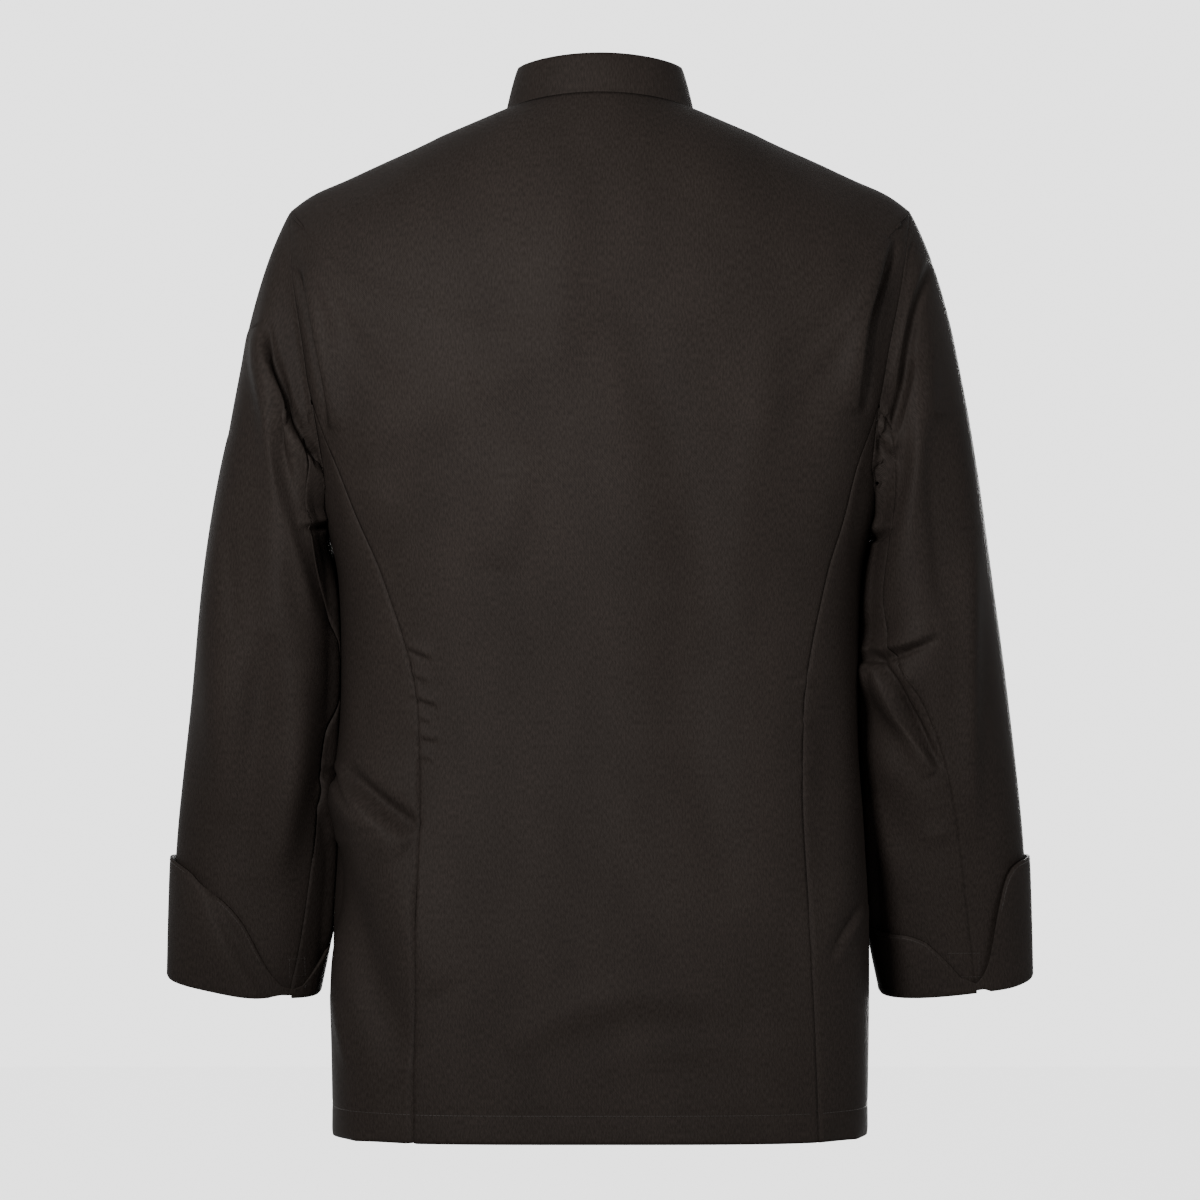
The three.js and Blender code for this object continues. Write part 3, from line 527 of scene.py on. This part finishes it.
BODY_FOLDS = fold_table(
    # long soft folds across the back
    (1, 0.017, -0.049, 0.029, -0.241, 0.004, 0.016, 0.0024, 0),
    (1, 0.087, -0.215, 0.157, -0.300, 0.008, 0.018, -0.0045, 0),
    (1, 0.174, -0.268, -0.009, -0.152, 0.008, 0.018, 0.0036, 0),
    (1, -0.017, -0.160, -0.087, -0.433, -0.008, 0.020, -0.0042, 0),
    (1, 0.051, -0.259, 0.073, -0.353, 0.004, 0.020, 0.0038, 0),
    (1, -0.060, -0.380, -0.100, -0.600, 0.008, 0.022, -0.0034, 0),
    (1, -0.130, -0.180, -0.110, -0.360, 0.008, 0.016, 0.0020, 0),
    (1, 0.226, -0.100, 0.125, -0.024, 0.004, 0.013, -0.0018, 0),
    (1, -0.222, -0.098, -0.120, -0.024, -0.004, 0.013, -0.0016, 0),
    # arches over the seat
    (1, 0.068, -0.703, -0.107, -0.674, -0.027, 0.014, 0.0034, 0),
    (1, 0.030, -0.725, -0.140, -0.705, -0.016, 0.012, 0.0014, 0),
    # drags from the left waist and hip
    (1, 0.197, -0.495, 0.165, -0.530, 0.002, 0.007, 0.0030, 1),
    (1, 0.198, -0.509, 0.138, -0.554, 0.002, 0.018, 0.0105, -1),
    (1, 0.160, -0.545, 0.118, -0.660, 0.004, 0.020, 0.0075, 0),
    (1, 0.199, -0.555, 0.138, -0.712, 0.008, 0.018, -0.0115, 0),
    (1, 0.197, -0.665, 0.184, -0.717, 0.000, 0.004, 0.0020, 0),
    # a softer one from the right waist
    (1, -0.176, -0.430, -0.160, -0.600, 0.004, 0.012, -0.0024, 0),
    (1, -0.186, -0.570, -0.160, -0.650, 0.004, 0.010, 0.0016, 0),
    (1, -0.198, -0.600, -0.172, -0.640, 0.002, 0.007, 0.0022, 1),
    # puckers beside the left shaped seam
    (1, 0.141, -0.408, 0.121, -0.416, 0.000, 0.005, 0.0018, 1),
    (1, 0.139, -0.428, 0.124, -0.433, 0.000, 0.004, 0.0012, 1),
    (1, 0.137, -0.444, 0.117, -0.450, 0.000, 0.005, 0.0019, 1),
    (1, 0.135, -0.459, 0.122, -0.463, 0.000, 0.004, 0.0012, 1),
    (1, 0.136, -0.472, 0.116, -0.476, 0.000, 0.005, 0.0018, 1),
    (1, 0.134, -0.487, 0.121, -0.490, 0.000, 0.004, 0.0012, 1),
    # and the right one
    (1, -0.156, -0.432, -0.140, -0.438, 0.000, 0.005, 0.0008, 1),
    (1, -0.156, -0.462, -0.142, -0.468, 0.000, 0.005, 0.0008, 1),
    (1, -0.156, -0.498, -0.140, -0.502, 0.000, 0.005, 0.0007, 1),
    # overhang beside the armholes
    (1, 0.217, -0.129, 0.194, -0.251, -0.003, 0.009, 0.0075, 1),
    (1, -0.212, -0.108, -0.186, -0.239, 0.007, 0.010, 0.0070, -1),
    # the hidden front
    (-1, 0.06, -0.16, 0.10, -0.36, 0.008, 0.022, 0.0024, 0),
    (-1, -0.12, -0.20, -0.06, -0.42, 0.010, 0.024, 0.0026, 0),
    (-1, 0.185, -0.45, 0.12, -0.53, 0.008, 0.012, 0.0036, 1),
    (-1, -0.185, -0.44, -0.12, -0.50, -0.008, 0.012, 0.0032, -1),
    (-1, -0.16, -0.60, -0.13, -0.73, 0.006, 0.018, -0.0030, 0),
    (-1, 0.15, -0.59, 0.12, -0.72, 0.006, 0.020, 0.0026, 0),
    (-1, 0.221, -0.12, 0.197, -0.25, -0.004, 0.009, 0.0042, 1),
    (-1, -0.221, -0.12, -0.197, -0.25, 0.004, 0.009, 0.0042, -1),
)


def body_lift(place):
    up = np.zeros(len(place))
    for side in (1, -1):
        folds = [fold for fold in BODY_FOLDS if fold["side"] == side]
        facing = np.clip(0.5 + side * place[:, 1] / SIDE_BLEND, 0, 1)
        up += facing * fold_height(place[:, [0, 2]], folds)
    stitched = np.exp(-(((place[:, 2] - HEM_EDGE - HEM_STITCH) / 0.0022) ** 2))
    return up - HEM_STITCH_PULL * stitched


SLEEVE_NODES = ("sleeve_top_left", "sleeve_under_left", "sleeve_top_right", "sleeve_under_right")

# The size that each panel is cut to, in metres, and the area of that cut
for node, flat, area in (
    ("back", (0.508, 0.824), 0.286),
    ("side_left", (0.212, 0.544), 0.092),
    ("side_right", (0.189, 0.543), 0.083),
    ("front_right", (0.343, 0.811), 0.222),
    ("front_left", (0.345, 0.813), 0.224),
):
    sheet = outer_cloth(node, torso_axis)
    lay_flat(sheet)
    finish_cloth(sheet, node, body_lift, folds=BODY_FOLDS, meets=SLEEVE_NODES)

# Sleeves
# Each sleeve is cut in two, and the seam down its back is set far enough round to show. They hang in
# drags from the armhole, with sharper folds at the bend of the elbow.
def sleeve_axis(hand):
    shoulder = Vector((hand * 0.222, 0, -0.15))
    wrist = Vector((hand * 0.268, -0.028, -0.662))

    def axis(point):
        along = (shoulder.z - point.z) / (shoulder.z - wrist.z)
        return shoulder.lerp(wrist, min(max(along, 0), 1))

    return axis


SLEEVE_FOLDS = {
    1: fold_table(
        # the big crease from the armhole, and what crosses its lower end
        (1, 0.253, -0.172, 0.197, -0.306, 0.008, 0.010, 0.0095, -1),
        (1, 0.201, -0.261, 0.212, -0.276, 0.000, 0.004, 0.0030, 1),
        (1, 0.204, -0.272, 0.188, -0.310, 0.000, 0.005, 0.0040, -1),
        (1, 0.220, -0.319, 0.197, -0.315, 0.000, 0.005, 0.0034, 1),
        # the hollow between the arm and the body, and soft folds down the arm
        (1, 0.206, -0.325, 0.204, -0.405, 0.000, 0.008, -0.0030, 0),
        (1, 0.239, -0.250, 0.216, -0.401, 0.000, 0.010, -0.0044, 0),
        (1, 0.276, -0.314, 0.269, -0.401, 0.000, 0.005, -0.0014, 0),
        (1, 0.285, -0.250, 0.276, -0.540, 0.008, 0.014, 0.0050, 0),
        (1, 0.222, -0.420, 0.242, -0.590, -0.004, 0.011, 0.0060, 0),
        (1, 0.245, -0.400, 0.262, -0.580, 0.004, 0.011, -0.0050, 0),
        (1, 0.262, -0.440, 0.250, -0.600, 0.004, 0.010, 0.0016, 0),
        # the hidden side
        (-1, 0.250, -0.180, 0.215, -0.300, 0.006, 0.010, 0.0050, -1),
        (-1, 0.270, -0.250, 0.260, -0.460, 0.010, 0.016, 0.0030, 0),
        (-1, 0.210, -0.420, 0.270, -0.460, 0.004, 0.010, 0.0040, 1),
        (-1, 0.220, -0.470, 0.280, -0.520, 0.004, 0.012, 0.0035, 1),
    ),
    -1: fold_table(
        # soft folds of the sleeve's head
        (1, -0.226, -0.108, -0.202, -0.185, 0.003, 0.007, 0.0044, -1),
        (1, -0.240, -0.118, -0.216, -0.222, 0.005, 0.010, 0.0046, -1),
        # the pinch beside the armhole, with a pocket under it
        (1, -0.196, -0.228, -0.216, -0.266, 0.000, 0.009, 0.0058, 1),
        (1, -0.214, -0.268, -0.234, -0.196, 0.004, 0.011, 0.0054, -1),
        (1, -0.190, -0.336, -0.213, -0.318, 0.000, 0.006, 0.0034, 1),
        # the bend of the elbow: a ridge across, and a sharp line that runs down from it
        (1, -0.186, -0.415, -0.246, -0.397, 0.003, 0.009, 0.0048, 1),
        (1, -0.197, -0.416, -0.247, -0.504, 0.000, 0.009, 0.0085, -1),
        (1, -0.239, -0.551, -0.263, -0.547, 0.000, 0.007, 0.0018, 0),
        # soft folds down the arm
        (1, -0.275, -0.328, -0.279, -0.555, 0.004, 0.008, 0.0050, 0),
        (1, -0.248, -0.240, -0.256, -0.390, 0.004, 0.011, -0.0060, 0),
        (1, -0.205, -0.520, -0.240, -0.620, 0.004, 0.010, 0.0036, 0),
        # the hidden side
        (-1, -0.250, -0.180, -0.215, -0.300, -0.006, 0.010, 0.0050, 1),
        (-1, -0.270, -0.250, -0.260, -0.460, -0.010, 0.016, 0.0030, 0),
        (-1, -0.210, -0.420, -0.270, -0.460, 0.004, 0.010, 0.0040, -1),
        (-1, -0.220, -0.470, -0.280, -0.520, 0.004, 0.012, 0.0035, -1),
    ),
}


def sleeve_lift(hand):
    def lift(place):
        middle = -0.028 * np.clip((-0.08 - place[:, 2]) / 0.58, 0, 1)
        up = np.zeros(len(place))
        for side in (1, -1):
            folds = [fold for fold in SLEEVE_FOLDS[hand] if fold["side"] == side]
            facing = np.clip(0.5 + side * (place[:, 1] - middle) / SIDE_BLEND, 0, 1)
            up += facing * fold_height(place[:, [0, 2]], folds)
        return up * np.clip((place[:, 2] + 0.60) / 0.04, 0, 1)

    return lift


# The size that each part of a sleeve is cut to, and the area of that cut
SLEEVE_CUTS = {
    1: (("top", (0.305, 0.597), 0.135), ("under", (0.169, 0.444), 0.039)),
    -1: (("top", (0.297, 0.591), 0.123), ("under", (0.167, 0.447), 0.051)),
}
BODY_NODES = ("back", "side_left", "side_right", "front_left", "front_right")
for word, hand in (("left", 1), ("right", -1)):
    for half, flat, area in SLEEVE_CUTS[hand]:
        node = f"sleeve_{half}_{word}"
        sheet = outer_cloth(node, sleeve_axis(hand))
        lay_flat(sheet)
        finish_cloth(
            sheet,
            node,
            sleeve_lift(hand),
            folds=SLEEVE_FOLDS[hand],
            tuck=0.0011,
            meets=BODY_NODES,
            lies_on=BODY_NODES,
        )

# Collar
# A stand collar of two layers with interfacing between, so it is thicker and smoother than the rest.
def flat_lift(place):
    return np.zeros(len(place))


NECK_MIDDLE = -0.009  # y of the middle of the collar's ring


def collar_axis(point):
    return Vector((0, NECK_MIDDLE, point.z))


# Its lower edge is turned in and sewn down over the neckline. The overlap fades out towards the front.
COLLAR_OVERLAP = 0.0036
COLLAR_STAND = 0.026  # what lies further than this under the top edge is the lower edge
OVERLAP_DEPTH = 0.04  # depth over which the overlap grows to its full height

sheet = outer_cloth("collar", collar_axis)
lay_flat(sheet)
bm = bmesh.new()
bm.from_mesh(sheet.data)
top = {}
for vert in bm.verts:
    angle = round(math.atan2(vert.co.y - NECK_MIDDLE, vert.co.x), 1)
    top[angle] = max(top.get(angle, -1), vert.co.z)
for vert in bm.verts:
    angle = round(math.atan2(vert.co.y - NECK_MIDDLE, vert.co.x), 1)
    if vert.co.z < top[angle] - COLLAR_STAND and vert.co.y > -OVERLAP_DEPTH:
        vert.co.z -= COLLAR_OVERLAP * min((vert.co.y + OVERLAP_DEPTH) / OVERLAP_DEPTH, 1)
bm.to_mesh(sheet.data)
bm.free()
finish_cloth(
    sheet,
    "collar",
    flat_lift,
    thickness=0.0026,
    seam_dip=0.0004,
    lies_on=("back",),
    below=0.02,
    reach=0.0012,
)

# Cuffs
# Each cuff is the sleeve's faced end turned back up, notched to a point at the sleeve's back seam. The
# left one has rolled in along a line beside its notch.
CUFF_FOLDS = {
    1: fold_table((1, 0.304, -0.580, 0.252, -0.680, 0.004, 0.020, 0.0060, -1)),
    -1: fold_table((1, -0.297, -0.590, -0.310, -0.680, 0.000, 0.014, 0.0020, 0)),
}


def cuff_lift(hand):
    def lift(place):
        facing = np.clip((place[:, 1] + 0.02) / 0.02, 0, 1)
        return facing * np.maximum(fold_height(place[:, [0, 2]], CUFF_FOLDS[hand]), 0)

    return lift


for word, hand in (("left", 1), ("right", -1)):
    node = f"cuff_{word}"
    sheet = outer_cloth(node, sleeve_axis(hand), rim=0.0018)
    crease_lip(sheet)
    cut_open(sheet)
    lay_flat(sheet)
    finish_cloth(sheet, node, cuff_lift(hand), levels=2, thickness=0.002, seam_dip=0.0003, tuck=0)

# Buttons
# Ten sewn-through buttons of black resin, each with a raised rim and four holes, lie on the front in
# two rows of five.
BUTTON_RADIUS = 0.010
BUTTON_THICKNESS = 0.0032
HOLE_RADIUS = 0.0009
HOLE_SPACING = 0.0015

resin_material = bpy.data.materials.new("black_resin")
resin_material.use_nodes = True
resin = resin_material.node_tree.nodes["Principled BSDF"]
resin.inputs["Roughness"].default_value = 0.35
resin.inputs["Specular IOR Level"].default_value = 0.03
cloud = resin_material.node_tree.nodes.new("ShaderNodeTexNoise")
cloud.inputs["Scale"].default_value = 160
tint = resin_material.node_tree.nodes.new("ShaderNodeValToRGB")
tint.color_ramp.elements[0].color = (0.0024, 0.0020, 0.0018, 1)
tint.color_ramp.elements[1].color = (0.0044, 0.0038, 0.0035, 1)
coordinates = resin_material.node_tree.nodes.new("ShaderNodeTexCoord")
resin_material.node_tree.links.new(coordinates.outputs["Object"], cloud.inputs["Vector"])
resin_material.node_tree.links.new(cloud.outputs["Fac"], tint.inputs["Fac"])
resin_material.node_tree.links.new(tint.outputs["Color"], resin.inputs["Base Color"])

bpy.ops.object.select_all(action="DESELECT")
bpy.ops.mesh.primitive_cylinder_add(vertices=48, radius=BUTTON_RADIUS, depth=BUTTON_THICKNESS)
pattern = bpy.context.object
bm = bmesh.new()
bm.from_mesh(pattern.data)
face = max(bm.faces, key=lambda f: f.normal.z * f.calc_area())
bmesh.ops.inset_region(bm, faces=[face], thickness=0.22 * BUTTON_RADIUS)
bmesh.ops.inset_region(bm, faces=[face], thickness=0.10 * BUTTON_RADIUS, depth=-0.3 * BUTTON_THICKNESS)
bm.to_mesh(pattern.data)
bm.free()
rounded = pattern.modifiers.new("rounded", "BEVEL")
rounded.width = 0.0004
rounded.segments = 3
rounded.angle_limit = math.radians(40)
bpy.ops.object.modifier_apply(modifier=rounded.name)
for side in (1, -1):
    for way in (1, -1):
        bpy.ops.mesh.primitive_cylinder_add(
            vertices=16,
            radius=HOLE_RADIUS,
            depth=3 * BUTTON_THICKNESS,
            location=(side * HOLE_SPACING, way * HOLE_SPACING, 0),
        )
        drill = bpy.context.object
        bpy.context.view_layer.objects.active = pattern
        hole = pattern.modifiers.new("hole", "BOOLEAN")
        hole.object = drill
        hole.solver = "EXACT"
        bpy.ops.object.modifier_apply(modifier=hole.name)
        bpy.data.objects.remove(drill)
pattern.data.materials.append(resin_material)
bpy.ops.object.select_all(action="DESELECT")
pattern.select_set(True)
bpy.ops.object.shade_smooth_by_angle(angle=math.radians(35))
bpy.ops.object.select_all(action="DESELECT")

for word in ("left", "right"):
    for count in range(1, 6):
        node = f"button_{word}_{count}"
        spots = mesh_array(bpy.data.objects[node].data, "co")
        middle = (spots.min(0) + spots.max(0)) / 2
        spread = np.linalg.eigh(np.cov((spots - spots.mean(0)).T))[1][:, 0]
        outwards = Vector(spread if spread @ (middle - [0, 0, middle[2]]) > 0 else -spread)
        button = pattern.copy()
        button.data = pattern.data.copy()
        button.name = node + "_sewn"
        bpy.context.collection.objects.link(button)
        turn = outwards.to_track_quat("Z", "Y").to_matrix().to_4x4()
        button.data.transform(Matrix.Translation(Vector(middle)) @ turn)
        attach(button, "root")
        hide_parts(node)
bpy.data.objects.remove(pattern)

# Stitching
# Single rows of machine stitches hold the hem and edge the collar, the cuffs and the front. They are
# sewn in thread close to the cloth's own colour, and partly sink into it.
STITCH = 0.0024
STITCH_GAP = 0.0007
STITCH_THICKNESS = 0.00036
STITCH_RISE = 0.00012  # from the cloth's face to the middle of a stitch
CUFF_ROW = 0.0022  # from a cuff's edge in to its row
EDGE_ROW = 0.0045  # and from the edge of the collar and the front

thread_material = bpy.data.materials.new("thread")
thread_material.use_nodes = True
thread = thread_material.node_tree.nodes["Principled BSDF"]
thread.inputs["Base Color"].default_value = (0.0040, 0.0032, 0.0028, 1)
thread.inputs["Roughness"].default_value = 0.5
thread.inputs["Specular IOR Level"].default_value = 0.06


def stitch_row(name, path, ring=False):
    """A row of stitches along a path on the finished cloth, in metres."""
    bpy.ops.object.select_all(action="DESELECT")
    curve = bpy.data.curves.new(name + "_path", "CURVE")
    curve.dimensions = "3D"
    curve.twist_mode = "Z_UP"
    line = curve.splines.new("POLY")
    line.points.add(len(path) - 1)
    line.points.foreach_set("co", np.c_[path, np.ones(len(path))].ravel())
    line.use_cyclic_u = ring
    guide = bpy.data.objects.new(name + "_path", curve)
    bpy.context.collection.objects.link(guide)
    bpy.ops.mesh.primitive_cylinder_add(vertices=6, radius=0.5, depth=1, rotation=(0, math.radians(90), 0))
    row = bpy.context.object
    row.name = name
    bpy.ops.object.transform_apply(rotation=True)
    row.scale = (STITCH, STITCH_THICKNESS, STITCH_THICKNESS)
    bpy.ops.object.transform_apply(scale=True)
    repeat = row.modifiers.new("repeat", "ARRAY")
    repeat.fit_type = "FIT_CURVE"
    repeat.curve = guide
    repeat.use_relative_offset = False
    repeat.use_constant_offset = True
    repeat.constant_offset_displace = (STITCH + STITCH_GAP, 0, 0)
    follow = row.modifiers.new("follow", "CURVE")
    follow.object = guide
    bpy.ops.object.modifier_apply(modifier=repeat.name)
    bpy.ops.object.modifier_apply(modifier=follow.name)
    row.data.materials.append(thread_material)
    bpy.ops.object.shade_smooth_by_angle(angle=math.radians(50))
    bpy.data.objects.remove(guide)
    bpy.ops.object.select_all(action="DESELECT")
    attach(row, "root")


def edge_runs(ring, keep, inset):
    """Where stitches run inside a sheet's edge, as unbroken paths. keep says which points have them."""
    place, inwards, normals = ring
    chosen = [bool(keep(p, way)) for p, way in zip(place, inwards)]
    path = place + inwards * inset + normals * STITCH_RISE
    if all(chosen):
        return [(path, True)]
    start = next(i for i in range(len(chosen)) if chosen[i] and not chosen[i - 1])
    runs = []
    for step in range(len(chosen)):
        i = (start + step) % len(chosen)
        if not chosen[i]:
            continue
        if not chosen[i - 1]:
            runs.append([])
        runs[-1].append(path[i])
    return [(np.array(run), False) for run in runs if len(run) > 8]


def thinned(path, step=0.004):
    """A path with its points at least a step apart."""
    kept = [path[0]]
    for point in path[1:]:
        if np.linalg.norm(point - kept[-1]) >= step:
            kept.append(point)
    return np.array(kept)


for word in ("left", "right"):
    upper = max(borders[f"cuff_{word}"], key=lambda ring: ring[0][:, 2].mean())
    for path, ring in edge_runs(upper, lambda p, way: True, CUFF_ROW):
        stitch_row(f"cuff_{word}_stitches", thinned(path), ring)

collar_edge = max(borders["collar"], key=lambda ring: len(ring[0]))
for path, ring in edge_runs(collar_edge, lambda p, way: way[2] < 0.5, EDGE_ROW):
    stitch_row("collar_stitches", thinned(path), ring)

front_edge = max(borders["front_left"], key=lambda ring: len(ring[0]))
for path, ring in edge_runs(front_edge, lambda p, way: p[0] < 0 and way[0] > 0.6, EDGE_ROW):
    stitch_row("front_left_stitches", thinned(path), ring)

# The hem's row runs level, one run on each panel.
for node in BODY_NODES:
    cloth = bpy.data.objects[node + "_cloth"]
    tree = BVHTree.FromObject(cloth, bpy.context.evaluated_depsgraph_get())
    runs = [[]]
    for degrees in np.arange(90, 450, 1.0):
        way = Vector((math.cos(math.radians(degrees)), math.sin(math.radians(degrees)), 0))
        start = Vector((0, 0, HEM_EDGE + HEM_STITCH)) + way * 0.5
        hit, normal, _, _ = tree.ray_cast(start, -way)
        if hit is None or hit.dot(way) < 0.02 or (node == "front_right" and hit.x > 0.02):
            if runs[-1]:
                runs.append([])
            continue
        runs[-1].append(np.array(hit + normal * STITCH_RISE))
    if runs[0] and runs[-1] and node == "back":
        runs[0] = runs.pop() + runs[0]
    for run in runs:
        if len(run) > 8:
            stitch_row(f"{node}_hem_stitches", np.array(run[1:-1]))

# Small boxes of stitches close the sleeve's seam above each notch.
for word, x_from, x_to, z_from, z_to in (
    ("left", 0.2325, 0.2215, -0.644, -0.657),
    ("right", -0.2610, -0.2835, -0.639, -0.657),
):
    corners = [(x_from, z_from), (x_to, z_from), (x_to, z_to), (x_from, z_to), (x_from, z_from)]
    trees = [skins[f"sleeve_{half}_{word}"] for half in ("top", "under")]
    for (x0, z0), (x1, z1) in zip(corners, corners[1:]):
        path = []
        for share in np.linspace(0, 1, 8):
            start = Vector((x0 + (x1 - x0) * share, 0.5, z0 + (z1 - z0) * share))
            hits = [tree.ray_cast(start, Vector((0, -1, 0))) for tree in trees]
            hits = [hit for hit in hits if hit[0] is not None]
            if hits:
                spot, normal, _, _ = min(hits, key=lambda hit: hit[3])
                path.append(np.array(spot + normal * STITCH_RISE))
        if len(path) > 4:
            stitch_row(f"vent_{word}_stitches", np.array(path))

# Floor and light
# A plain white floor, well under the jacket, in even studio light: a small key on the jacket's left, a
# fill from its right and a soft one for its front.
FLOOR_HEIGHT = -1.6
LIGHT_AIM = Vector((0, 0, -0.22))
backdrop_material = bpy.data.materials.new("backdrop")
backdrop_material.use_nodes = True
paper = backdrop_material.node_tree.nodes["Principled BSDF"]
paper.inputs["Base Color"].default_value = (0.93, 0.93, 0.93, 1)
paper.inputs["Roughness"].default_value = 0.9
bpy.ops.mesh.primitive_plane_add(size=16, location=(0, 0, FLOOR_HEIGHT))
floor = bpy.context.object
floor.name = "floor"
floor.data.materials.append(backdrop_material)

world = bpy.data.worlds.new("studio")
bpy.context.scene.world = world
world.use_nodes = True
world.node_tree.nodes["Background"].inputs["Color"].default_value = (1, 1, 1, 1)
world.node_tree.nodes["Background"].inputs["Strength"].default_value = 2.6

for name, place, size, power in (
    ("key", (0.60, 1.6, 0.12), 0.4, 69),
    ("fill", (-2.4, 2.2, -0.2), 1.6, 50),
    ("front", (-0.5, -2.4, -0.3), 1.2, 50),
):
    bpy.ops.object.light_add(type="AREA", location=place)
    light = bpy.context.object
    light.name = name
    light.data.size = size
    light.data.energy = power
    light.data.spread = math.radians(90)
    light.rotation_euler = (LIGHT_AIM - Vector(place)).to_track_quat("-Z", "Y").to_euler()
